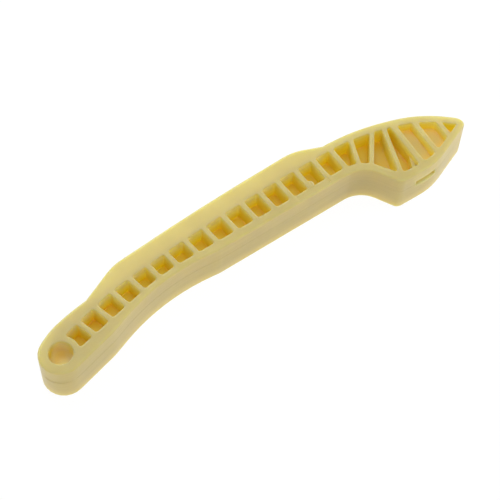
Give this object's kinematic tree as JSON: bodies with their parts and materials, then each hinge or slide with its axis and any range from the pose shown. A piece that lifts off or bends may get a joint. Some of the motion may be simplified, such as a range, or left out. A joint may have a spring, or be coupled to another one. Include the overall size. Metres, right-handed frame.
{
  "type": "timing chain guide",
  "caption": "Moulded plastic arm that guides an engine's timing chain along its curved back, swinging on a bolt at one end and pushed at the other.",
  "frame": {"origin": "bottom centre of the bounding box, with the arm lying on one of its side faces", "axes": "+X along the arm from the pivot to the nose, +Y towards the chain's running face, +Z along the pivot's axis"},
  "size_m": [0.2016, 0.0368, 0.02],
  "materials": {
    "natural_nylon": "natural cream moulding, half matt and slightly translucent"
  },
  "bodies": {
    "root": {"guide_rail": "natural_nylon"}
  },
  "joints": []
}
